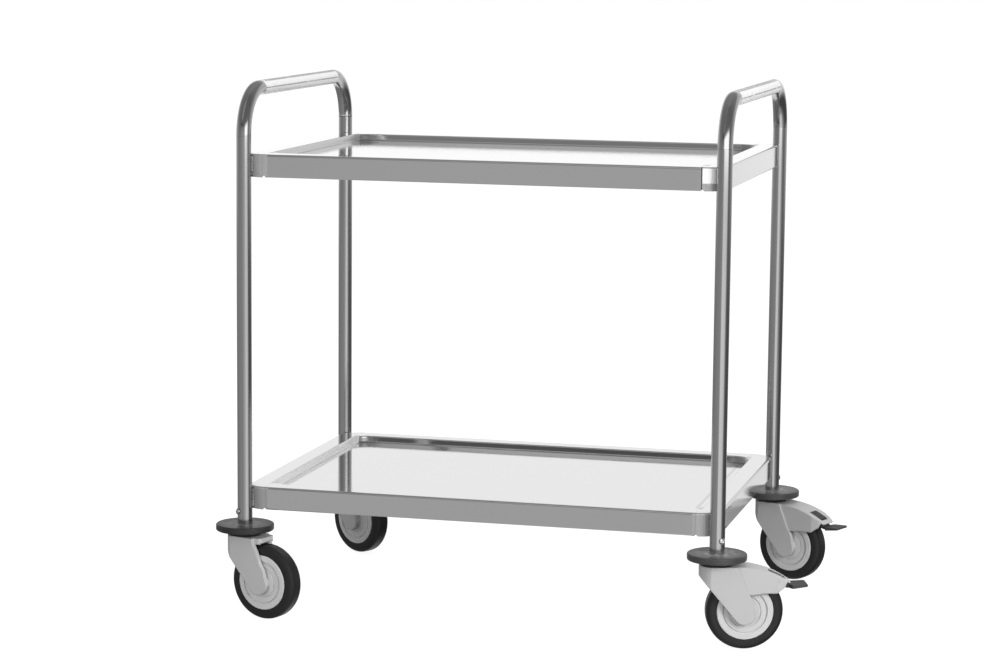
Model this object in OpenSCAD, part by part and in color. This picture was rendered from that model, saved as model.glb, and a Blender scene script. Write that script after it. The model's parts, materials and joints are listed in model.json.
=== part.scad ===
// Two-tier serving trolley: welded tube frame, two pressed shelves,
// four swivel castors, the two at the +X end with foot brakes.
// X runs along the length, Y across the width, Z up. The floor is z = 0.
// All sizes are in millimetres and degrees.

/* [Frame] */
// Distance between post centres along the length
post_x = 800; // [700:5:1000]
// Distance between post centres across the width
post_y = 550; // [450:5:650]
// Outside diameter of the frame tube
tube_d = 25; // [22:0.5:30]
// Wall thickness of the frame tube
tube_wall = 1.2; // [1:0.1:2]
// Height of the top of the handles above the floor
handle_z = 891; // [870:1:960]
// Centre-line radius of the handle bends
bend_r = 75; // [55:1:76]

/* [Shelves] */
// Height of the rim of the upper shelf above the floor
upper_z = 774; // [700:1:780]
// Height of the rim of the lower shelf above the floor
lower_z = 219; // [215:1:320]
// Height of the apron around each shelf
apron_h = 38; // [32:1:44]
// Width of the flat rim, from the apron to the recess
rim_w = 35; // [25:1:45]
// Depth of the recessed floor below the rim
recess = 10.8; // [8:0.1:20]
// Outside corner radius of the shelves in plan
corner_r = 37; // [30:1:50]
// Corner radius of the recess in plan
recess_r = 30; // [22:1:45]
// Sheet thickness of the shelves
sheet_t = 1.2; // [1:0.1:1.6]
// Width of the return folded inward under the apron
return_w = 12; // [8:1:16]

/* [Castors] */
// Wheel diameter, the heights of the castor follow it
wheel_d = 125; // [115:1:130]
// Width of the tyres
tyre_w = 30; // [26:1:34]
// Diameter of the bumper discs
bumper_d = 97; // [80:1:110]
// Height of the clamp screws above the top of the bumper discs
screw_h = 21; // [16:1:24]
// Rest angle of the front left castor
swing_fl = -17; // [-60:1:60]
// Rest angle of the back left castor
swing_bl = -31; // [-60:1:60]
// Rest angle of the front right castor
swing_fr = 19; // [-60:1:60]
// Rest angle of the back right castor
swing_br = -22; // [-60:1:60]

/* [Hidden] */
$fn = 72;
steel = "lightsteelblue";
inner = "slategray";
grey = "lightgray";
dark = "dimgray";
black = "#222222";
zinc = "silver";

TAG = ["fl", "bl", "fr", "br"];
SX = [-1, -1, 1, 1];
SY = [-1, 1, -1, 1];
SWING = [swing_fl, swing_bl, swing_fr, swing_br];

// Longer than any castor piece, for cuts that go right through
through = 200;

// Clearances
weld_gap = 0.1;
seat_gap = 0.1;
pin_gap = 0.05;
ball_gap = 0.08;
move_gap = 0.3;

// Frame
tube_r = tube_d / 2;
tube_in = tube_r - tube_wall;
spigot_r = tube_in - 0.3;
top_z = handle_z - tube_r;
seam_z = top_z - bend_r;
// A shelf corner touches its post on the diagonal
reach = (corner_r + tube_r + weld_gap) / sqrt(2);
half_x = floor((post_x / 2 - reach + corner_r) * 10) / 10;
half_y = floor((post_y / 2 - reach + corner_r) * 10) / 10;

// Castor heights, from the wheel up
wheel_r = wheel_d / 2;
axle_s = 45;
axle_h = wheel_r;
tyre_gap = 4;
well_r = wheel_r + tyre_gap;
crown_t = 8;
crown_h = axle_h + well_r + crown_t;
neck_h = 8;
bumper_lo = crown_h + neck_h;
bumper_t = 11;
bumper_hi = bumper_lo + bumper_t;
foot_z = bumper_hi + seat_gap;
screw_z = bumper_hi + screw_h;

// Castor half widths
hw = tyre_w / 2;
leg_in = hw + 2.5;
leg_out = leg_in + 8.5;
tail_out = leg_out - 2.5;
tail_in = tail_out - 3;

// Swivel: pin, its head, the flange above the race, the balls between them
pin_r = 6;
head_r = 9;
flange_r = 22;
race_r = 21;
crown_r = 29;
ball_r = 2.5;
ball_ring = 16;
ball_h = crown_h + 3.5;
balls = 14;

// Wheel: rim radius, hub disc and hub boss
tyre_t = 16.5;
rim_r = wheel_r - tyre_t;
hub_face = hw - 0.8;
boss_r = 14;
axle_r = 4;

// Brake: a leaf over the tyre, pressed down by the toe of the pedal
leaf_gap = 3.7;
leaf_r = wheel_r + leaf_gap;
leaf_t = 1.2;
leaf_pin_r = 1.5;
leaf_eye = 0.6;
leaf_s = axle_s + 15;
leaf_h = axle_h + tenth(sqrt(pow(leaf_r + leaf_eye, 2) - pow(leaf_s - axle_s, 2)));
// Direction from the axle to the eye, where the leaf ends
leaf_end = [leaf_s - axle_s, leaf_h - axle_h] / (leaf_r + leaf_eye);
pedal_pin_r = 2.5;
toe_r = 1.5;
toe = [2.2, -7.6];
pedal_s = axle_s + 51;
pedal_h = axle_h - toe[1]
  + tenth(sqrt(pow(leaf_r + toe_r + 0.65, 2) - pow(pedal_s + toe[0] - axle_s, 2)));
pad_hw = 10.6;
lever_l = 50;
lever_hw = 18;
lever_cut = 2.5;

// Shift that centres the whole outline on the origin
tip = max([for (a = [swing_fr, swing_br])
  (pedal_s + lever_l) * cos(a) + (lever_hw - lever_cut) * abs(sin(a))]);
shift = -round((tip - bumper_d / 2) * 5) / 10;

// Helpers

// A length in whole tenths of a millimetre
function tenth(x) = round(x * 10) / 10;

// Ring sector between radii r - t and r, from direction a to direction b
module sector(r, t, a, b) {
  intersection() {
    difference() {
      circle(r);
      circle(r - t);
    }
    polygon([[0, 0], 2 * r * a, 2 * r * (a + b), 2 * r * b]);
  }
}

// Rectangle with half sizes x and y and corner radius r
module round_rect(x, y, r) {
  square([2 * x, 2 * (y - r)], center = true);
  square([2 * (x - r), 2 * y], center = true);
  for (sx = [-1, 1], sy = [-1, 1])
    translate([sx * (x - r), sy * (y - r)])
      circle(r);
}

// Sides of a rounded frame with half sizes x and y. The section has its outer face at 0
module sides(x, y, r) {
  for (k = [0:3]) {
    a = k % 2 == 0 ? x : y;
    b = k % 2 == 0 ? y - r : x - r;
    rotate([0, 0, 90 * k]) translate([a, b, 0]) rotate([90, 0, 0])
      linear_extrude(2 * b) children();
  }
}

// Corners of the same frame
module corners(x, y, r) {
  for (k = [0:3]) {
    a = k % 2 == 0 ? x - r : y - r;
    b = k % 2 == 0 ? y - r : x - r;
    rotate([0, 0, 90 * k]) translate([a, b, 0])
      rotate_extrude(angle = 90) translate([r, 0]) children();
  }
}

// Round off the convex corner v between a and b, as a shape to take away
module nip(a, v, b, r) {
  p = (a - v) / norm(a - v);
  q = (b - v) / norm(b - v);
  h = acos(p * q) / 2;
  c = v + (p + q) / norm(p + q) * r / sin(h);
  difference() {
    polygon([v + p * r / tan(h), v + (v - c) * 0.3, v + q * r / tan(h)]);
    translate(c) circle(r);
  }
}

// Tangent point from p to a circle at c, on the side given by the sign k
function touch(p, c, r, k) =
  let (d = norm(c - p), a = atan2(c[1] - p[1], c[0] - p[0]) + k * asin(r / d))
  p + sqrt(d * d - r * r) * [cos(a), sin(a)];

// Side view (s, z) to a solid between -w and w across the wheel
module across(w) {
  translate([0, w, 0]) rotate([90, 0, 0]) linear_extrude(2 * w) children();
}

// Place a piece at post i
module at_post(i) {
  translate([shift + SX[i] * post_x / 2, SY[i] * post_y / 2, 0]) children();
}

// Place a piece of the swivelling part of castor i
module at_castor(i) {
  at_post(i) rotate([0, 0, SWING[i]]) children();
}

// Turn from +X to the outward diagonal at post i
function outward(i) = atan2(SY[i], SX[i]);

// Frame

module handle_bow(k) color(steel) translate([shift + k * post_x / 2, 0, 0]) {
  translate([0, post_y / 2 - bend_r, top_z]) rotate([90, 0, 0])
    linear_extrude(post_y - 2 * bend_r) tube_ring();
  for (a = [0, 180])
    rotate([0, 0, a]) translate([0, post_y / 2 - bend_r, seam_z]) rotate([90, 0, 90])
      rotate_extrude(angle = 90) translate([bend_r, 0]) tube_ring();
}

module tube_ring() {
  difference() {
    circle(tube_r);
    circle(tube_in);
  }
}

module post(i) color(steel) at_post(i) difference() {
  translate([0, 0, foot_z]) linear_extrude(seam_z - foot_z) tube_ring();
  translate([0, 0, screw_z]) rotate([0, 90, outward(i)]) cylinder(r = 3.2, h = 2 * tube_r);
}

module seam_rings() color(inner) for (i = [0:3]) at_post(i)
  translate([0, 0, seam_z - 5]) difference() {
    cylinder(r = tube_in - 0.25, h = 10);
    translate([0, 0, -1]) cylinder(r = tube_in - 1.5, h = 12);
  }

// Section of the outer folds: rim edge, apron, return. 0 is the apron face
edge_r = 4;
fold_r = 2.5;
module edge_fold() {
  translate([-edge_r, -edge_r]) sector(edge_r, sheet_t, [1, 0], [0, 1]);
  translate([-edge_r - 4, -sheet_t]) square([4, sheet_t]);
  translate([-sheet_t, fold_r - apron_h]) square([sheet_t, apron_h - edge_r - fold_r]);
}
module return_fold() {
  translate([-fold_r, fold_r - apron_h]) sector(fold_r, sheet_t, [0, -1], [1, 0]);
  translate([-return_w, -apron_h]) square([return_w - fold_r, sheet_t]);
}

// Section of the recess wall, 0 is the edge line of the rim
// The wall leans by a 7 : 24 slope, so all its points are round numbers
run = 0.28;
rise = 0.96;
lip_r = 2.5;
fillet_r = 2.5;
lip = [lip_r * rise, -lip_r];
wall_top = [0, lip_r * run - lip_r];
wall_h = recess + wall_top[1] - fillet_r * (1 - run);
wall_end = wall_top - wall_h * [run / rise, 1];
fillet = wall_end + fillet_r * [-rise, run];
back = sheet_t * [rise, -run];
module recess_wall() {
  translate([lip[0], -sheet_t]) square([6 - lip[0], sheet_t]);
  translate(lip) sector(lip_r, sheet_t, [0, 1], [-rise, run]);
  polygon([wall_top, wall_end, wall_end + back, wall_top + back]);
  translate(fillet) sector(fillet_r + sheet_t, sheet_t, [0, -1], [rise, -run]);
  translate([-14, -recess - sheet_t]) square([14 + fillet[0], sheet_t]);
}

module shelf(z) color(steel) translate([shift, 0, z]) {
  in_x = half_x - rim_w;
  in_y = half_y - rim_w;
  // Apron with its folds and a relief at each end of the returns
  difference() {
    union() {
      sides(half_x, half_y, corner_r) edge_fold();
      corners(half_x, half_y, corner_r) corner_fold();
      sides(half_x, half_y, corner_r) return_fold();
    }
    for (k = [0:3]) {
      a = k % 2 == 0 ? half_x : half_y;
      b = k % 2 == 0 ? half_y - corner_r : half_x - corner_r;
      for (s = [-1, 1])
        rotate([0, 0, 90 * k]) translate([a - return_w - 1, s * b, -apron_h])
          rotate([0, 90, 0]) cylinder(r = 2.6, h = return_w + 2);
    }
  }
  // Flat rim
  translate([0, 0, -sheet_t]) linear_extrude(sheet_t) difference() {
    round_rect(half_x - edge_r - 2, half_y - edge_r - 2, corner_r - edge_r - 2);
    round_rect(in_x + 4.5, in_y + 4.5, recess_r + 4.5);
  }
  // Recess
  sides(in_x, in_y, recess_r) recess_wall();
  corners(in_x, in_y, recess_r) recess_wall();
  translate([0, 0, -recess - sheet_t]) linear_extrude(sheet_t)
    round_rect(in_x - 12, in_y - 12, recess_r - 12);
}
// The corner apron stops level with the underside of the returns
module corner_fold() {
  translate([-edge_r, -edge_r]) sector(edge_r, sheet_t, [1, 0], [0, 1]);
  translate([-edge_r - 4, -sheet_t]) square([4, sheet_t]);
  translate([-sheet_t, -apron_h]) square([sheet_t, apron_h - edge_r]);
}

// Two weld beads in the gaps between each post and a shelf corner
module beads(z) color(zinc) for (i = [0:3]) at_post(i)
  rotate([0, 0, outward(i)]) for (s = [-1, 1])
    translate([0, 0, z - apron_h + 4]) linear_extrude(apron_h - 8) difference() {
      translate([-tube_r - weld_gap / 2, s * 5]) circle(2.7);
      circle(tube_r + weld_gap / 2, $fn = 360);
      translate([-tube_r - corner_r - weld_gap, 0]) circle(corner_r + weld_gap / 2, $fn = 720);
    }
module upper_welds() beads(upper_z);
module lower_welds() beads(lower_z);

module clamp_screws() color(zinc) for (i = [0:3]) at_post(i)
  translate([0, 0, screw_z]) rotate([0, 90, outward(i)]) {
    translate([0, 0, 5]) cylinder(r = 3, h = tube_r - 5 + 1);
    translate([0, 0, tube_r + 0.05]) difference() {
      intersection() {
        cylinder(r = 5.25, h = 4);
        translate([0, 0, -2.6]) sphere(6.6);
      }
      translate([0, 0, 2]) cylinder(r = 2, h = 5, $fn = 6);
    }
  }

// Castors, fixed part

module stem(i) color(inner) at_post(i) difference() {
  union() {
    rotate_extrude() difference() {
      polygon([
        [0, crown_h - 21], [head_r - 1.5, crown_h - 21], [head_r, crown_h - 19.5],
        [head_r, crown_h - 17 - move_gap], [pin_r, crown_h - 17 - move_gap],
        [pin_r, crown_h + 4.2], [flange_r, crown_h + 4.2],
        [flange_r, bumper_lo - seat_gap], [0, bumper_lo - seat_gap]
      ]);
      translate([ball_ring, ball_h]) circle(ball_r + ball_gap);
    }
    translate([0, 0, bumper_lo - 0.5]) cylinder(r = spigot_r, h = 59);
    translate([0, 0, bumper_lo + 58.5]) cylinder(r1 = spigot_r, r2 = spigot_r - 1.5, h = 1.5);
  }
  translate([0, 0, screw_z]) rotate([0, 90, outward(i)])
    translate([0, 0, 4.5]) cylinder(r = 3.05, h = tube_r);
}

module bumper(i) color(dark) at_post(i) translate([0, 0, bumper_lo]) rotate_extrude()
  difference() {
    square([bumper_d / 2, bumper_t]);
    translate([-1, -1]) square([spigot_r + seat_gap + 1, bumper_t + 2]);
    nip([0, bumper_t], [bumper_d / 2, bumper_t], [bumper_d / 2, 0], 2.5);
    nip([0, 0], [bumper_d / 2, 0], [bumper_d / 2, bumper_t], 2.5);
  }

module swivel_cap(i) color(black) at_post(i) rotate_extrude() difference() {
  translate([20, crown_h + move_gap]) square([6, neck_h - move_gap - seat_gap]);
  translate([19, crown_h]) square([flange_r + seat_gap - 19, neck_h + 1]);
  nip([24, bumper_lo - seat_gap], [26, bumper_lo - seat_gap], [26, crown_h], 1);
}

// Castors, swivelling part, as drawn trailing along +X

module bearing_race(i) color(zinc) at_castor(i) rotate_extrude() difference() {
  translate([10.5, crown_h - 1.4]) square([race_r - 10.5, 4.2]);
  translate([ball_ring, ball_h]) circle(ball_r + ball_gap);
}

module bearing_balls(i) color(zinc) at_castor(i) for (k = [0:balls - 1])
  rotate([0, 0, 360 * k / balls]) translate([ball_ring, 0, ball_h]) sphere(ball_r);

// Side view of the two legs and the crown
leg_r = 17;
leg_c = [axle_s - 2, axle_h - 2.5];
leg_front = [-crown_r, crown_h - 17.5];
leg_back = [axle_s + 10, axle_h + 21.5];
module leg_side() {
  f = touch(leg_front, leg_c, leg_r, -1);
  b = touch(leg_back, leg_c, leg_r, 1);
  waist = [axle_s + 2.5, crown_h - 41];
  translate(leg_c) circle(leg_r);
  difference() {
    polygon([
      [-crown_r, crown_h], leg_front, f, leg_c, b, leg_back, waist,
      [axle_s - 5, crown_h - 22], [axle_s - 11, crown_h - 9], [axle_s - 14, crown_h]
    ]);
    nip([-crown_r, crown_h], leg_front, f, 7);
    nip([0, crown_h], [-crown_r, crown_h], leg_front, 2);
    nip(b, leg_back, waist, 12);
  }
}

// Side view of the tail housing over the tyre
tail_r = 165;
tail_c = [axle_s - 17, crown_h - tail_r];
function tail_top(s) = tail_c[1] + tenth(sqrt(pow(tail_r, 2) - pow(s - tail_c[0], 2)));
module tail_side() {
  intersection() {
    translate(tail_c) circle(tail_r);
    polygon([
      [axle_s - 17, axle_h + 37.5], [axle_s + 5, axle_h + 28.5], [axle_s + 11, axle_h + 28.5],
      [pedal_s - 23, pedal_h - 19.5], [pedal_s - 1, pedal_h - 19.5], [pedal_s + 5, pedal_h - 15],
      [pedal_s + 11.6, pedal_h - 10.5], [pedal_s + 14, pedal_h - 5.5],
      [pedal_s + 16.5, tail_top(pedal_s + 16.5) - 2.9], [pedal_s + 20, tail_top(pedal_s + 20) - 2.9],
      [pedal_s + 22, tail_top(pedal_s + 22) - 1.2], [pedal_s + 22, crown_h + 5],
      [axle_s - 17, crown_h + 5]
    ]);
  }
}

module tail_plan(d) {
  w = tail_out - d;
  side = [
    [axle_s - 25, w], [pedal_s, w], [pedal_s + 12, w - 3.2], [pedal_s + 19, w - 7],
    [pedal_s + 24, w - 10.5]
  ];
  polygon(concat(side, [for (k = [4:-1:0]) [side[k][0], -side[k][1]]]));
}

module crown_plan() {
  intersection() {
    union() {
      circle(crown_r);
      translate([0, -crown_r]) square([through, 2 * crown_r]);
    }
    translate([-crown_r - 1, -leg_out]) square([through, 2 * leg_out]);
  }
}

// Spaces for the wheel, the swivel pin, the race and the axle
module fork_spaces() {
  across(leg_in) translate([axle_s, axle_h]) circle(well_r);
  cylinder(r = pin_r + pin_gap, h = through);
  translate([0, 0, crown_h - 47]) cylinder(r = head_r + 0.5, h = 30);
  translate([0, 0, crown_h - 1.5]) cylinder(r = race_r + seat_gap, h = 10);
  across(leg_out - 3) translate([axle_s, axle_h]) circle(axle_r + pin_gap);
}

module plain_fork(i) color(grey) at_castor(i) difference() {
  union() {
    intersection() {
      across(leg_out) leg_side();
      linear_extrude(through) crown_plan();
    }
    // Short roof over the tyre
    translate([0, 0, crown_h - crown_t - 2]) linear_extrude(crown_t + 2) difference() {
      translate([20, -leg_in - 2]) square([26, 2 * leg_in + 4]);
      for (s = [-1, 1])
        nip([20, s * (leg_in + 2)], [46, s * (leg_in + 2)], [46, 0], 6);
    }
  }
  fork_spaces();
}

module brake_fork(i) color(grey) at_castor(i) difference() {
  union() {
    intersection() {
      across(leg_out) leg_side();
      linear_extrude(through) crown_plan();
    }
    intersection() {
      across(tail_out) tail_side();
      linear_extrude(through) tail_plan(0);
    }
  }
  fork_spaces();
  // Room for the brake under the roof of the tail
  intersection() {
    across(tail_in) intersection() {
      translate(tail_c) circle(tail_r - 3);
      translate([leaf_s - 3.5, axle_h]) square([80, 90]);
    }
    linear_extrude(through) tail_plan(3);
  }
  // Opening for the pad
  translate([pedal_s - 13, -pad_hw - 0.6, pedal_h - 13]) linear_extrude(60) difference() {
    w = 2 * pad_hw + 1.2;
    square([27, w]);
    nip([10, 0], [0, 0], [0, 10], 2);
    nip([0, 10], [0, w], [10, w], 2);
    nip([10, 0], [27, 0], [27, 10], 2);
    nip([27, 10], [27, w], [10, w], 2);
  }
  across(tail_out - 1) {
    translate([pedal_s, pedal_h]) circle(pedal_pin_r + pin_gap);
    translate([leaf_s, leaf_h]) circle(leaf_pin_r + pin_gap);
  }
}

module axle(i) color(zinc) at_castor(i)
  across(leg_out - 3.1) translate([axle_s, axle_h]) circle(axle_r);

module bush(i) color(zinc) at_castor(i)
  across(leg_in - seat_gap) translate([axle_s, axle_h]) difference() {
    circle(axle_r + 2);
    circle(axle_r + pin_gap);
  }

// Wheel axis along Y through the axle
module on_axle(i) {
  at_castor(i) translate([axle_s, 0, axle_h]) rotate([90, 0, 0]) children();
}

module rim(i) color(grey) on_axle(i) rotate_extrude() difference() {
  inner_r = rim_r - 10.5;
  union() {
    translate([0, -leg_in + 0.5]) square([boss_r, 2 * leg_in - 1]);
    translate([10, -hub_face]) square([rim_r - 18, 2 * hub_face]);
    translate([inner_r, -hw - 0.6]) square([10.5 - seat_gap, 2 * hw + 1.2]);
  }
  translate([-1, -30]) square([axle_r + 3 + pin_gap, 60]);
  // Ring grooves and softened edges on both faces
  for (s = [-1, 1]) {
    translate([25, s * hub_face]) circle(1.3);
    translate([inner_r, s * hub_face]) circle(1.5);
    nip([40, s * (hw + 0.6)], [rim_r - 0.1, s * (hw + 0.6)], [rim_r - 0.1, 0], 1.5);
    nip([40, s * (hw + 0.6)], [inner_r, s * (hw + 0.6)], [inner_r, 0], 1.5);
    nip([10, s * (leg_in - 0.5)], [boss_r, s * (leg_in - 0.5)], [boss_r, 0], 1.5);
  }
  // Groove that keys the tyre
  translate([rim_r - 4, -hw / 3]) square([10, hw / 3 * 2]);
}

module tyre(i) color(black) on_axle(i) rotate_extrude() {
  difference() {
    translate([rim_r, -hw]) square([tyre_t, 2 * hw]);
    for (s = [-1, 1]) {
      nip([rim_r + 4, s * hw], [wheel_r, s * hw], [wheel_r, 0], 9);
      nip([wheel_r, s * hw], [rim_r, s * hw], [rim_r, 0], 1.2);
    }
  }
  translate([rim_r - 3.9, 0.1 - hw / 3]) square([5, hw / 3 * 2 - 0.2]);
}

// Brake

module pedal_side() {
  translate([pedal_s, pedal_h]) {
    circle(4.6);
    translate(toe) circle(toe_r);
    polygon([
      toe + [-1.4, 0.4], toe + [1.2, -0.5], [16, -13.2], [25, -13.2], [25, -7.7],
      [16, -7.5], [8, -0.6], [8, tail_top(pedal_s + 8) - 1.6 - pedal_h],
      [-8, tail_top(pedal_s - 8) - 1.6 - pedal_h], [-8, 6.5], [-4, -1]
    ]);
  }
}

module pedal(i) color(dark) at_castor(i) difference() {
  union() {
    across(9) pedal_side();
    across(17) translate([pedal_s, pedal_h]) circle(4.6);
    // Pad level with the roof
    across(pad_hw) intersection() {
      translate(tail_c) difference() {
        circle(tail_r - 0.3);
        circle(tail_r - 3.5);
      }
      translate([pedal_s - 10.8, pedal_h - 13]) square([20.8, 40]);
    }
    // Foot lever
    intersection() {
      translate([pedal_s, 0, pedal_h - 20]) linear_extrude(20) lever_plan();
      across(30) translate([pedal_s, pedal_h]) lever_side();
    }
  }
  across(30) translate([pedal_s, pedal_h]) circle(pedal_pin_r + pin_gap);
}

module lever_plan() {
  side = [
    [16, 9], [21, 9], [23, lever_hw - 3], [25.5, lever_hw],
    [lever_l - lever_cut, lever_hw], [lever_l, lever_hw - lever_cut]
  ];
  polygon(concat(side, [for (k = [5:-1:0]) [side[k][0], -side[k][1]]]));
}

module lever_side() {
  top = [lever_l, -6.6];
  low = [lever_l, -10];
  difference() {
    polygon([[16, -13.2], [25, -13.4], low, top, [25, -7.6], [16, -7.5]]);
    nip([25, -7.6], top, low, 1.2);
    nip([25, -13.4], low, top, 1.2);
  }
}

module pedal_pin(i) color(zinc) at_castor(i)
  across(tail_out - 1.1) translate([pedal_s, pedal_h]) circle(pedal_pin_r);

module brake_leaf(i) color(zinc) at_castor(i) across(12) difference() {
  union() {
    translate([axle_s, axle_h]) sector(leaf_r, leaf_t, [cos(36), sin(36)], leaf_end);
    translate([leaf_s, leaf_h]) circle(leaf_pin_r + 1.1);
  }
  translate([leaf_s, leaf_h]) circle(leaf_pin_r + pin_gap);
}

module leaf_pin(i) color(zinc) at_castor(i)
  across(tail_out - 1.1) translate([leaf_s, leaf_h]) circle(leaf_pin_r);

handle_bow(-1);  // handle_bow_left
handle_bow(1);  // handle_bow_right
post(0);  // post_fl
post(1);  // post_bl
post(2);  // post_fr
post(3);  // post_br
shelf(upper_z);  // upper_shelf
shelf(lower_z);  // lower_shelf
seam_rings();
upper_welds();
lower_welds();
clamp_screws();
stem(0);  // stem_fl
stem(1);  // stem_bl
stem(2);  // stem_fr
stem(3);  // stem_br
bumper(0);  // bumper_fl
bumper(1);  // bumper_bl
bumper(2);  // bumper_fr
bumper(3);  // bumper_br
swivel_cap(0);  // swivel_cap_fl
swivel_cap(1);  // swivel_cap_bl
swivel_cap(2);  // swivel_cap_fr
swivel_cap(3);  // swivel_cap_br
bearing_race(0);  // bearing_race_fl
bearing_race(1);  // bearing_race_bl
bearing_race(2);  // bearing_race_fr
bearing_race(3);  // bearing_race_br
bearing_balls(0);  // bearing_balls_fl
bearing_balls(1);  // bearing_balls_bl
bearing_balls(2);  // bearing_balls_fr
bearing_balls(3);  // bearing_balls_br
plain_fork(0);  // fork_fl
plain_fork(1);  // fork_bl
brake_fork(2);  // fork_fr
brake_fork(3);  // fork_br
axle(0);  // axle_fl
axle(1);  // axle_bl
axle(2);  // axle_fr
axle(3);  // axle_br
bush(0);  // bush_fl
bush(1);  // bush_bl
bush(2);  // bush_fr
bush(3);  // bush_br
rim(0);  // rim_fl
rim(1);  // rim_bl
rim(2);  // rim_fr
rim(3);  // rim_br
tyre(0);  // tyre_fl
tyre(1);  // tyre_bl
tyre(2);  // tyre_fr
tyre(3);  // tyre_br
pedal(2);  // pedal_fr
pedal(3);  // pedal_br
pedal_pin(2);  // pedal_pin_fr
pedal_pin(3);  // pedal_pin_br
brake_leaf(2);  // brake_leaf_fr
brake_leaf(3);  // brake_leaf_br
leaf_pin(2);  // leaf_pin_fr
leaf_pin(3);  // leaf_pin_br
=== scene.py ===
"""Serving trolley: finishes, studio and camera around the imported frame."""
import json
import math

import bpy
from mathutils import Matrix, Vector


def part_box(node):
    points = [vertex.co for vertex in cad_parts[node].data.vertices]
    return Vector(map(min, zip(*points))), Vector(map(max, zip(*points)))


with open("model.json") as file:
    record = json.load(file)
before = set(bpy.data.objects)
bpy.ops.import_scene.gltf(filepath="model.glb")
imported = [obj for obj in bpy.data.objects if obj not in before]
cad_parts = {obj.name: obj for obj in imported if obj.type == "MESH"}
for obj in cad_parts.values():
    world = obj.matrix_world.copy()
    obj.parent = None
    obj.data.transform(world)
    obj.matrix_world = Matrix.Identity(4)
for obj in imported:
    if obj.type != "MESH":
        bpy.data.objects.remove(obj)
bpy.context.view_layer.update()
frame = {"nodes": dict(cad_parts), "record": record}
nodes = frame["nodes"]


def middle(node, axis):
    low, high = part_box(node)
    return (low[axis] + high[axis]) / 2


# Places taken from the frame, in metres
MIDDLE = middle("upper_shelf", 0)
POST_X = middle("post_fr", 0) - MIDDLE
POST_Y = middle("post_br", 1)
TUBE_R = (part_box("handle_bow_left")[1][0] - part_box("handle_bow_left")[0][0]) / 2
GRIP_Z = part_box("handle_bow_left")[1][2] - TUBE_R
SEAM_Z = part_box("post_fl")[1][2]
UPPER_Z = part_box("upper_shelf")[1][2]
LOWER_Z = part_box("lower_shelf")[1][2]
SHELF_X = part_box("upper_shelf")[1][0] - MIDDLE
BUMPER_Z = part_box("bumper_fl")[1][2]


class Value:
    """A shader socket that takes part in plain arithmetic."""

    def __init__(self, tree, socket):
        self.tree, self.socket = tree, socket

    def math(self, operation, *others, **more):
        return self.tree.add("Math", dict(enumerate((self,) + others)), operation=operation, **more)

    def __add__(self, other):
        return self.math("ADD", other)

    __radd__ = __add__

    def __sub__(self, other):
        return self.math("SUBTRACT", other)

    def __rsub__(self, other):
        return self.tree.add("Math", {0: other, 1: self}, operation="SUBTRACT")

    def __mul__(self, other):
        return self.math("MULTIPLY", other)

    __rmul__ = __mul__

    def __truediv__(self, other):
        return self.math("DIVIDE", other)

    def __rtruediv__(self, other):
        return self.tree.add("Math", {0: other, 1: self}, operation="DIVIDE")

    def __abs__(self):
        return self.math("ABSOLUTE")

    def step(self, low, high):
        """0 below low, 1 above high, smooth between."""
        return self.tree.add(
            "MapRange", {0: self, 1: low, 2: high, 3: 0.0, 4: 1.0}, interpolation_type="SMOOTHSTEP"
        )

    def band(self, centre, half, soft):
        """1 within half of centre, 0 beyond it by soft."""
        return abs(self - centre).step(half + soft, half)


class Tree:
    """A node tree: add() makes a node with its settings first, then its sockets."""

    def __init__(self, owner):
        owner.use_nodes = True
        self.nodes = owner.node_tree.nodes
        self.links = owner.node_tree.links
        self.nodes.clear()

    def add(self, kind, sockets=None, out=0, stops=None, **settings):
        node = self.nodes.new("ShaderNode" + kind)
        for key, value in settings.items():
            setattr(node, key, value)
        if stops:
            ramp = node.color_ramp
            while len(ramp.elements) < len(stops):
                ramp.elements.new(0.5)
            for element, (place, level) in zip(ramp.elements, stops):
                element.position = place
                element.color = (level, level, level, 1)
        for key, value in (sockets or {}).items():
            if isinstance(value, Value):
                self.links.new(value.socket, node.inputs[key])
            else:
                node.inputs[key].default_value = value
        return Value(self, node.outputs[out]) if node.outputs else None

    def place(self):
        """Point on the piece at rest, and its three coordinates."""
        point = self.add("TexCoord", out="Object")
        return point, [self.add("SeparateXYZ", {0: point}, out=k) for k in range(3)]

    def mix(self, factor, a, b):
        return self.add("Mix", {0: factor, 6: a, 7: b}, out=2, data_type="RGBA")

    def noise(self, point, scale, detail=3.0, stretch=(1, 1, 1), rough=0.5):
        if stretch != (1, 1, 1):
            point = self.add("Mapping", {0: point, 3: stretch})
        return self.add(
            "TexNoise", {"Vector": point, "Scale": scale, "Detail": detail, "Roughness": rough}
        )

    def shade(self, level, amount, spread):
        """A grey that wavers around level by amount with a 0..1 value."""
        return self.mix(spread, grey(level - amount), grey(level + amount))

    def bump(self, height, strength, distance=0.001, **under):
        sockets = {"Strength": strength, "Distance": distance, "Height": height, **under}
        return self.add("Bump", sockets)


def grey(level):
    return (level, level, level, 1)


def finish(name, paint):
    """Material whose surface takes the sockets that paint() returns."""
    material = bpy.data.materials.new(name)
    tree = Tree(material)
    body = tree.add("BsdfPrincipled", paint(tree))
    tree.add("OutputMaterial", {0: body})
    return material


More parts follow.
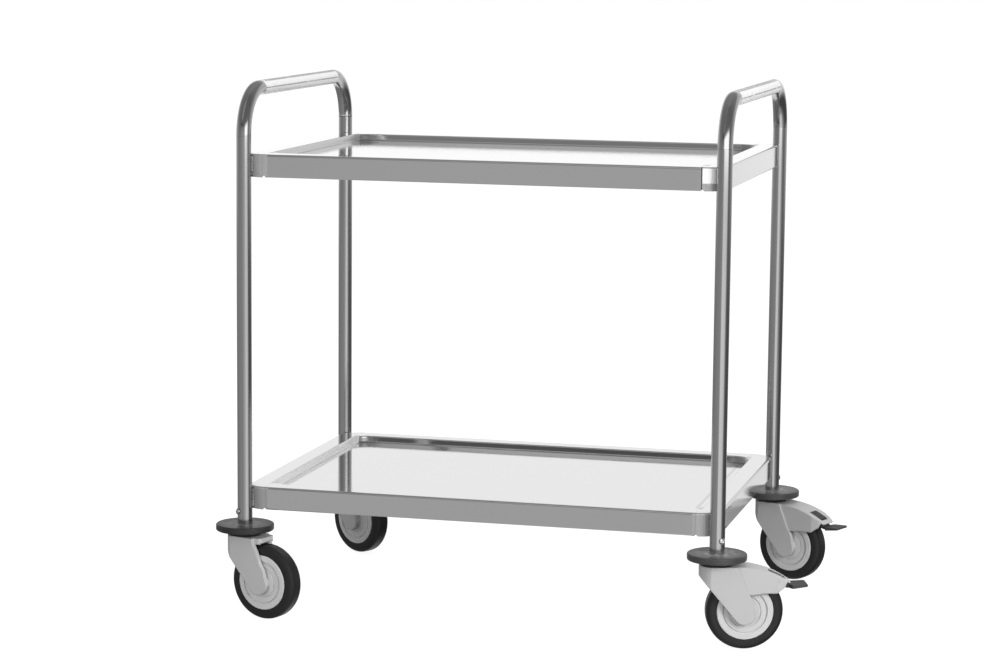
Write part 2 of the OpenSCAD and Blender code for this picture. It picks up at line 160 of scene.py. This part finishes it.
# Finishes, with lengths in metres
TUBE_GREY = 0.53
SATIN_GREY = 0.93
GRIP_HALF = 0.200  # half the length of the full satin
GRIP_DROP = 0.014  # the satin reaches this far below the axis of the bow
CORNER_R = 0.037  # corner radius of the aprons
RIM_W = 0.035  # width of the flat rims
APRON_Y = POST_Y - 0.018  # the front and back aprons begin here
RECESS_X = SHELF_X - RIM_W  # side walls of the recess
RECESS_Y = POST_Y - 0.035  # its marks run to here
FOOT_HALF = 0.19  # half the length of the painted shade line at the base of its right wall
HIGHLIGHT_DROP = 0.025  # the painted highlight on the corner reaches this far down the apron
WELD_RIPPLES = 2600.0  # radians per metre of height


def from_post(x, y):
    """Distance in plan from the axis of the nearest post."""
    dx, dy = abs(x - MIDDLE) - POST_X, abs(y) - POST_Y
    return (dx * dx + dy * dy).math("SQRT")


def tube_polish(t, point, x, y, z):
    """Bright-rolled tube: faint long lines, soft clouds, and the ground butt joint at the seam."""
    lines = t.noise(point, 500.0, 3.0, (1, 1, 0.01), 0.6)
    cloud = t.noise(point, 22.0, 4.0, (1, 1, 0.22), 0.6)
    specks = t.noise(point, 420.0, 2.0, (1, 1, 0.35))
    # Three joints are ground flush and polished, the one at the back left still shows
    left_back = (MIDDLE - x).step(0.0, 0.05) * y.step(0.0, 0.05)
    joint = z.band(SEAM_Z, 0.0004, 0.0004) * (left_back * 0.65 + 0.2)
    ground = z.band(SEAM_Z + 0.0015, 0.0008, 0.001) * left_back * specks.step(0.45, 0.55)
    colour = t.shade(TUBE_GREY, 0.05, cloud * 0.5 + specks * 0.2 + lines * 0.3)
    colour = t.mix(ground * 0.7, colour, grey(0.9))
    colour = t.mix(joint, colour, grey(0.08))
    rough = 0.10 + cloud * 0.06 + lines * 0.06 + ground * 0.3
    height = lines * 0.6 + cloud * 0.6 - joint * 3.0
    return colour, rough, height, ground


def polished_tube(t):
    point, (x, y, z) = t.place()
    colour, rough, height, ground = tube_polish(t, point, x, y, z)
    return {
        "Base Color": colour,
        "Metallic": 1.0 - ground * 0.6,
        "Roughness": rough,
        "Normal": t.bump(height, 0.05),
    }


def handle_tube(t):
    """Polished bends, and a satin grip over the whole straight."""
    point, (x, y, z) = t.place()
    colour, rough, height, ground = tube_polish(t, point, x, y, z)
    ragged = t.noise(point, 60.0, 3.0)
    grip = (abs(y) + ragged * 0.016).step(GRIP_HALF + 0.008, GRIP_HALF)
    grip = grip * z.step(GRIP_Z - GRIP_DROP - 0.004, GRIP_Z - GRIP_DROP)
    # Across the grip, -1 on the left of the tube and 1 on its right
    side = x - MIDDLE
    side = (side - side.math("SIGN") * POST_X) / TUBE_R
    blotch = t.noise(point, 60.0, 5.0, (1, 0.35, 1), 0.65)
    fine = t.noise(point, 260.0, 2.0, (1, 0.12, 1))
    rise = (z - GRIP_Z) / TUBE_R
    crest = side.step(0.66, 0.5) * rise.step(0.0, 0.2) * blotch.step(0.2, 0.5) * 0.8
    # A darker blotched band along the right flank of each bow, at the height of the axis
    flank_band = rise.band(0.0, 0.04, 0.1) * side.step(0.0, 0.1) * blotch.step(0.25, 0.5)
    satin = t.shade(SATIN_GREY, 0.06, blotch * 0.6 + fine * 0.4)
    satin = t.mix(crest, satin, grey(0.42))
    satin = t.mix(flank_band * 0.8, satin, grey(0.2))
    return {
        "Base Color": t.mix(grip, colour, satin),
        "Metallic": 1.0 - ground * 0.6 - grip * (0.75 - crest * 0.5),
        "Roughness": rough + grip * (0.10 + blotch * 0.12),
        "Normal": t.bump(height + grip * (fine * 0.4 + blotch * 0.8), 0.06),
    }


def shelf_sheet(t):
    """Bright sheet with its grain along the length, dull where it was bent and ground, with painted
    light and painted shade at its walls, creases and corners.
    """
    point, (x, y, z) = t.place()
    along = abs(x - MIDDLE)
    away = from_post(x, y)
    grain = t.noise(point, 60.0, 3.0, (0.06, 6, 6))
    cloud = t.noise(point, 5.0, 3.0)
    mottle = t.noise(point, 120.0, 4.0, (1, 1, 0.5), 0.6)
    stripes = t.noise(point, 500.0, 2.0, (1, 1, 0.02))
    specks = t.noise(point, 420.0, 3.0).step(0.35, 0.65)
    left = (MIDDLE - x).step(-0.1, 0.1)
    right = 1.0 - left
    upper = z.step(UPPER_Z - 0.08, UPPER_Z - 0.06)
    lower = 1.0 - upper
    front = y.step(-0.1, -0.15)
    depth = upper * UPPER_Z + lower * LOWER_Z - z
    edge = SHELF_X - CORNER_R
    ends = abs(y).step(APRON_Y - 0.002, APRON_Y)
    inside = abs(y).step(RECESS_Y + 0.01, RECESS_Y)
    # Dull corners of the front aprons. The patch reaches a little further along
    # the apron, except at the upper right
    reach = 0.006 - right * upper * 0.006
    patch = (along + reach).step(edge, edge + 0.0006) * ends * front
    patch = patch * depth.step(0.0008, 0.003)
    # The upper corner at the front right carries a painted highlight, short of its lower edge
    corner_highlight = right * upper * depth.step(HIGHLIGHT_DROP + 0.0015, HIGHLIGHT_DROP)
    # Grey of the dull corners, set corner by corner as painted light and shade, and near white at
    # the upper right as the painted highlight
    level = corner_highlight * 0.57 + left * (upper * 0.06 + 0.34) + right * 0.38
    level = level + (stripes - 0.5) * (1.0 - corner_highlight) * 0.25
    # Ground and tinted by heat around the posts
    ground = away.step(0.048, 0.026) * mottle.step(0.2, 0.5) * 0.2
    tint = away.step(0.019, 0.013) * specks * (left * 0.7 + 0.1)
    # Painted shade: a dark line where the corner of an apron begins, strong at the upper right,
    # faint on the lower shelf and none at the upper left
    crease_shade = along.band(edge - 0.001, 0.0006, 0.0006) * ends
    crease_shade = crease_shade * (right * upper * 0.85 + lower * 0.2)
    # The side walls of the recess are duller and lightened with painted light, more on the lower
    # shelf, its right wall has a painted shade line at the base, and its corners near the posts are
    # dull and darkened with painted shade
    dull_wall_painted_light = along.band(RECESS_X - 0.003, 0.004, 0.002) * inside
    foot_shade = (x - MIDDLE).band(RECESS_X - 0.018, 0.0015, 0.0025) * inside
    foot_shade = foot_shade * abs(y).step(FOOT_HALF + 0.025, FOOT_HALF)
    dull_corner_shade = away.step(0.095, 0.06) * depth.step(0.001, 0.004) * inside
    dull_corner_shade = dull_corner_shade * along.step(RECESS_X + 0.005, RECESS_X + 0.002)
    colour = t.shade(0.87, 0.02, cloud * 0.6 + grain * 0.4)
    colour = t.mix(ground * 0.8, colour, t.shade(0.78, 0.10, mottle * 0.5 + stripes * 0.5))
    colour = t.mix(dull_corner_shade * 0.8, colour, grey(0.5))
    colour = t.mix(dull_wall_painted_light, colour, grey(0.95))
    colour = t.mix(foot_shade * 0.5, colour, grey(0.45))
    colour = t.mix(patch, colour, t.mix(level, grey(0.0), grey(1.0)))
    colour = t.mix(tint, colour, grey(0.22))
    return {
        "Base Color": t.mix(crease_shade, colour, grey(0.05)),
        "Metallic": 1.0 - ground * 0.4 - patch * 0.85 - dull_wall_painted_light * lower * 0.4,
        "Roughness": 0.04 + grain * 0.05 + ground * 0.3 + dull_wall_painted_light * 0.3 + (patch + dull_corner_shade) * 0.35,
        "Normal": t.bump(grain, 0.05),
    }


def weld(t):
    """Brushed bead: short ripples across it, with dark burnt specks."""
    point, (_, _, z) = t.place()
    ripple = (z * WELD_RIPPLES + t.noise(point, 300.0, 2.0) * 5.0).math("SINE") * 0.5 + 0.5
    burnt = t.noise(point, 380.0, 4.0, rough=0.7).step(0.38, 0.66)
    return {
        "Base Color": t.mix(burnt, grey(0.50), grey(0.13)),
        "Metallic": 0.7,
        "Roughness": 0.32 + burnt * 0.2,
        "Normal": t.bump(ripple + burnt, 0.5, 0.0004),
    }


def plain_metal(level, rough):
    """Painter of a small metal piece with a faintly clouded polish."""

    def paint(t):
        point, _ = t.place()
        cloud = t.noise(point, 160.0, 3.0)
        return {
            "Base Color": t.shade(level, 0.06, cloud),
            "Metallic": 1.0,
            "Roughness": rough + cloud * 0.1,
            "Normal": t.bump(cloud, 0.12, 0.0005),
        }

    return paint


def moulded(level, rough, waver=0.02, edge=0.0012, gloss=0.5):
    """Painter of a moulded piece: finely pebbled, its edges rounded by edge metres."""

    def paint(t):
        point, _ = t.place()
        cloud = t.noise(point, 30.0, 3.0)
        pebble = t.noise(point, 900.0, 2.0)
        soft = t.add("Bevel", {"Radius": edge}, samples=4)
        return {
            "Base Color": t.shade(level, waver, cloud),
            "Roughness": rough + pebble * 0.12,
            "Specular IOR Level": gloss,
            "Normal": t.bump(pebble, 0.05, 0.0003, Normal=soft),
        }

    return paint


def bumper_skin(t):
    """Grey rubber, dusty on top around the base of the post with a painted highlight there, the
    left pair painted darker.
    """
    point, (x, y, z) = t.place()
    cloud = t.noise(point, 45.0, 4.0, rough=0.6)
    pebble = t.noise(point, 800.0, 2.0)
    top = z.step(BUMPER_Z - 0.003, BUMPER_Z - 0.0005)
    blotch = t.noise(point, 90.0, 4.0, rough=0.7).step(0.32, 0.68)
    # Painted shade: the pair at the left is darker, less dusty and with less of the painted
    # highlight on top
    right_pair_painted_light = (x - MIDDLE).step(-0.1, 0.1)
    # Dusty top near the post, partly a painted highlight, more at the right pair
    dust_and_highlight = top * from_post(x, y).step(0.050, 0.012) * blotch * (right_pair_painted_light * 0.5 + 0.5)
    colour = t.mix(right_pair_painted_light, t.shade(0.028, 0.01, cloud), t.shade(0.058, 0.02, cloud))
    return {
        "Base Color": t.mix(dust_and_highlight * 0.9, colour, grey(0.42)),
        "Roughness": 0.32 + cloud * 0.15,
        "Specular IOR Level": 0.45,
        "Normal": t.bump(pebble, 0.12, 0.0003),
    }


FINISHES = {
    "handle_steel": finish("handle_steel", handle_tube),
    "tube_steel": finish("tube_steel", polished_tube),
    "shelf_steel": finish("shelf_steel", shelf_sheet),
    "inner_steel": finish("inner_steel", plain_metal(0.5, 0.3)),
    "weld_steel": finish("weld_steel", weld),
    "screw_steel": finish("screw_steel", plain_metal(0.85, 0.12)),
    "zinc_steel": finish("zinc_steel", plain_metal(0.6, 0.3)),
    "ball_steel": finish("ball_steel", plain_metal(0.75, 0.1)),
    "bumper_rubber": finish("bumper_rubber", bumper_skin),
    "cap_plastic": finish("cap_plastic", moulded(0.02, 0.5, 0.005, gloss=0.3)),
    "fork_plastic": finish("fork_plastic", moulded(0.52, 0.45, edge=0.0025)),
    "rim_plastic": finish("rim_plastic", moulded(0.64, 0.40, edge=0.0006)),
    "tyre_rubber": finish("tyre_rubber", moulded(0.017, 0.38, 0.005, gloss=0.35)),
    "pedal_plastic": finish("pedal_plastic", moulded(0.06, 0.5, 0.01, gloss=0.3)),
}
for part in frame["record"]["subparts"]:
    nodes[part["node"]].material_slots[0].material = FINISHES[part["material_slot"]]


# Studio, with lengths in metres
FLOOR_HALF = 40.0  # half its side
FLOOR_DROP = 0.0004  # it lies this far under the wheels
FLOOR_GREY = 0.24
FLOOR_GLOW = 0.93  # its own light, to the camera alone
WORLD_GREY = 0.47
WORLD_WHITE = 1.0  # the world to the camera

# Grey cards: tone by direction, where 0 is the front, 90 the right, 180 the back
FLOOR_TONE = [
    (-180, 0.9), (-150, 0.85), (-138, 0.22), (-90, 0.24), (-60, 0.30), (-20, 0.33), (-8, 0.33),
    (5, 0.44), (18, 0.58), (36, 0.50), (55, 0.36), (70, 0.25), (82, 0.13), (95, 0.08),
    (138, 0.08), (152, 0.3), (162, 0.66), (172, 0.7), (180, 0.9),
]
LOW_TONE = [
    (-180, 0.94), (-130, 0.94), (-85, 0.4), (-55, 0.24), (-30, 0.26), (-16, 0.33), (-8, 0.33),
    (5, 0.40), (60, 0.40), (76, 0.15), (110, 0.4), (140, 0.6), (167, 0.64), (175, 0.94),
    (180, 0.94),
]
MID_TONE = [
    (-180, 0.8), (-130, 0.7), (-90, 0.28), (-40, 0.22), (-31, 0.10), (-10, 0.08), (0, 0.15),
    (60, 0.15), (100, 0.22), (150, 0.7), (180, 0.8),
]
HIGH_TONE = [(-180, 0.4), (-90, 0.30), (-40, 0.2), (60, 0.2), (180, 0.4)]
TOP_TONE = [
    (-180, 0.34), (-90, 0.24), (-28, 0.22), (-20, 0.45), (-8, 0.45), (0, 0.2), (90, 0.18),
    (180, 0.34),
]
# Slopes of sight, as height over distance: where the floor gives way to the wall,
# the start of each upper band of the wall, and half the blend between bands
HORIZON = (-0.11, -0.07)
BANDS = [(0.30, MID_TONE), (0.46, HIGH_TONE), (0.62, TOP_TONE)]
BLEND = 0.03
# Light of the cards up to the low band, and above it
LOW_LIGHT = 1.12
HIGH_LIGHT = 0.94
DIMMING = (0.08, 0.18)  # slopes over which it goes from one to the other
# The cards stand far off and lie low, so a direction meets the same tone from
# every piece
CARD_R = 30.0
CARD_FLOOR = -1.0  # height of their floor
CARD_SIDES = 96
CARD_HUB = 0.01  # radius of the holes at their middle
EYE_Z = 0.6  # height of the pieces that see the horizon

# Card that draws the streaks
STREAK_PLACE = (0.80, -1.09, 0)
STREAK_TURN = 46  # degrees
STREAK_SIDE = (0.72, 0.45)  # from its middle: the edge, and where it is full
STREAK_TOP = (1.42, 1.14)  # from the floor: the edge, and where it is full
STREAK_BASE = -0.5
STREAK_STEP = (0.66, 0.76)  # below this height it keeps STREAK_FOOT of its light
STREAK_FOOT = 0.3
STREAK_POWER = 1.9

# Lamps: name, place, aim, width, height and watts
LAMPS = [
    ("key", (2.7, -1.75, 1.3), (0, 0, 0.45), 1.3, 1.3, 68),
    ("front", (-0.7, -2.5, 0.5), (-0.1, 0, 0.3), 1.2, 1.0, 16),
    ("roof", (0.2, -0.3, 3.4), (0, 0, 0.4), 2.6, 2.6, 45),
]

CAMERA_PLACE = (1.177490 + MIDDLE, -4.682641, 1.135113)
CAMERA_TURN = (14.502, 8.003, 0.513)  # yaw, pitch and roll in degrees
FOCAL_LENGTH = 102.308  # mm
SENSOR_WIDTH = 36.0  # mm
CAMERA_REACH = 200.0


def new_object(name, data):
    thing = bpy.data.objects.new(name, data)
    bpy.context.scene.collection.objects.link(thing)
    return thing


def stage_mesh(name, points, faces, material):
    mesh = bpy.data.meshes.new(name)
    mesh.from_pydata(points, [], faces)
    piece = new_object(name, mesh)
    mesh.materials.append(material)
    return piece


def only_reflected(piece):
    """Shows a piece to polished surfaces alone."""
    for kind in ("camera", "diffuse", "transmission", "volume_scatter", "shadow"):
        setattr(piece, "visible_" + kind, False)


def studio_floor():
    """White to the camera, with the trolley's shadow. Polished surfaces see the cards instead."""
    material = bpy.data.materials.new("studio_floor")
    t = Tree(material)
    paint = t.add("BsdfDiffuse", {"Color": grey(FLOOR_GREY)})
    seen = t.add("LightPath", out="Is Camera Ray")
    glow = t.add("Emission", {"Color": grey(1), "Strength": seen * FLOOR_GLOW})
    t.add("OutputMaterial", {0: t.add("AddShader", {0: paint, 1: glow})})
    a, low = FLOOR_HALF, -FLOOR_DROP
    corners = [(-a, -a, low), (a, -a, low), (a, a, low), (-a, a, low)]
    floor = stage_mesh("studio_floor", corners, [(0, 1, 2, 3)], material)
    floor.visible_glossy = False


def studio_cards():
    """Dome of grey cards: mats on the floor and flags on the walls."""
    material = bpy.data.materials.new("studio_cards")
    t = Tree(material)
    _, (x, y, z) = t.place()
    turn = x.math("ARCTAN2", 0.0 - y) / (2 * math.pi) + 0.5
    away = (x * x + y * y).math("SQRT")
    steep = z / away

    def ring(tones):
        stops = [(0.5 + angle / 360.0, tone) for angle, tone in tones]
        return t.add("ValToRGB", {0: turn}, stops=stops)

    tone = t.mix((steep - EYE_Z / away).step(*HORIZON), ring(FLOOR_TONE), ring(LOW_TONE))
    for start, tones in BANDS:
        tone = t.mix(steep.step(start - BLEND, start + BLEND), tone, ring(tones))
    tone = t.mix(steep.step(*DIMMING) * (1.0 - HIGH_LIGHT / LOW_LIGHT), tone, grey(0.0))
    t.add("OutputMaterial", {0: t.add("Emission", {"Color": tone, "Strength": LOW_LIGHT})})
    points, faces = [], []
    count = CARD_SIDES
    rings = (
        (CARD_HUB, CARD_FLOOR), (CARD_R, CARD_FLOOR), (CARD_R, CARD_R), (CARD_HUB, 1.5 * CARD_R)
    )
    for radius, height in rings:
        for k in range(count):
            a = 2 * math.pi * k / count
            points.append((radius * math.sin(a), -radius * math.cos(a), height))
    for start in range(0, count * (len(rings) - 1), count):
        for k in range(count):
            m = (k + 1) % count
            faces.append((start + k, start + m, start + count + m, start + count + k))
    only_reflected(stage_mesh("studio_cards", points, faces, material))


def streak_card():
    """Soft-edged card near the front right, which draws the light streaks on the tubes."""
    material = bpy.data.materials.new("streak_card")
    t = Tree(material)
    _, (x, _, z) = t.place()
    level = z.step(*STREAK_STEP) * (1.0 - STREAK_FOOT) + STREAK_FOOT
    cover = abs(x).step(*STREAK_SIDE) * z.step(*STREAK_TOP) * level
    glow = t.add("Emission", {"Color": grey(1), "Strength": STREAK_POWER})
    clear = t.add("BsdfTransparent")
    t.add("OutputMaterial", {0: t.add("MixShader", {0: cover, 1: clear, 2: glow})})
    a, low, top = STREAK_SIDE[0], STREAK_BASE, STREAK_TOP[0]
    corners = [(-a, 0, low), (a, 0, low), (a, 0, top), (-a, 0, top)]
    card = stage_mesh("streak_card", corners, [(0, 1, 2, 3)], material)
    card.location = STREAK_PLACE
    card.rotation_euler = (0, 0, math.radians(STREAK_TURN))
    only_reflected(card)


def studio_world():
    world = bpy.data.worlds.new("studio")
    bpy.context.scene.world = world
    t = Tree(world)
    seen = t.add("LightPath", out="Is Camera Ray")
    light = t.mix(seen, grey(WORLD_GREY), grey(WORLD_WHITE))
    t.add("OutputWorld", {0: t.add("Background", {0: light, 1: 1.0})})


def panel(name, place, aim, width, height, power):
    """A softbox that lights, but doesn't show as a hot spot in the polish."""
    light = bpy.data.lights.new(name, "AREA")
    light.shape = "RECTANGLE"
    light.size, light.size_y = width, height
    light.energy = power
    lamp = new_object(name, light)
    lamp.location = place
    lamp.rotation_euler = (Vector(aim) - Vector(place)).to_track_quat("-Z", "Y").to_euler()
    lamp.visible_camera = False
    lamp.visible_glossy = False


def studio_camera():
    yaw, pitch, roll = (math.radians(a) for a in CAMERA_TURN)
    level = math.cos(pitch)
    ahead = Vector((-math.sin(yaw) * level, math.cos(yaw) * level, -math.sin(pitch)))
    right = Vector((math.cos(yaw), math.sin(yaw), 0))
    up = right.cross(ahead)
    side = math.cos(roll) * right + math.sin(roll) * up
    crown = -math.sin(roll) * right + math.cos(roll) * up
    turned = Matrix((side, crown, -ahead)).transposed().to_4x4()
    data = bpy.data.cameras.new("camera")
    data.sensor_width = SENSOR_WIDTH
    data.lens = FOCAL_LENGTH
    data.clip_end = CAMERA_REACH
    camera = new_object("camera", data)
    camera.matrix_world = Matrix.Translation(CAMERA_PLACE) @ turned
    bpy.context.scene.camera = camera


bpy.context.scene.view_settings.view_transform = "Standard"
studio_floor()
studio_cards()
streak_card()
studio_world()
for lamp in LAMPS:
    panel(*lamp)
studio_camera()
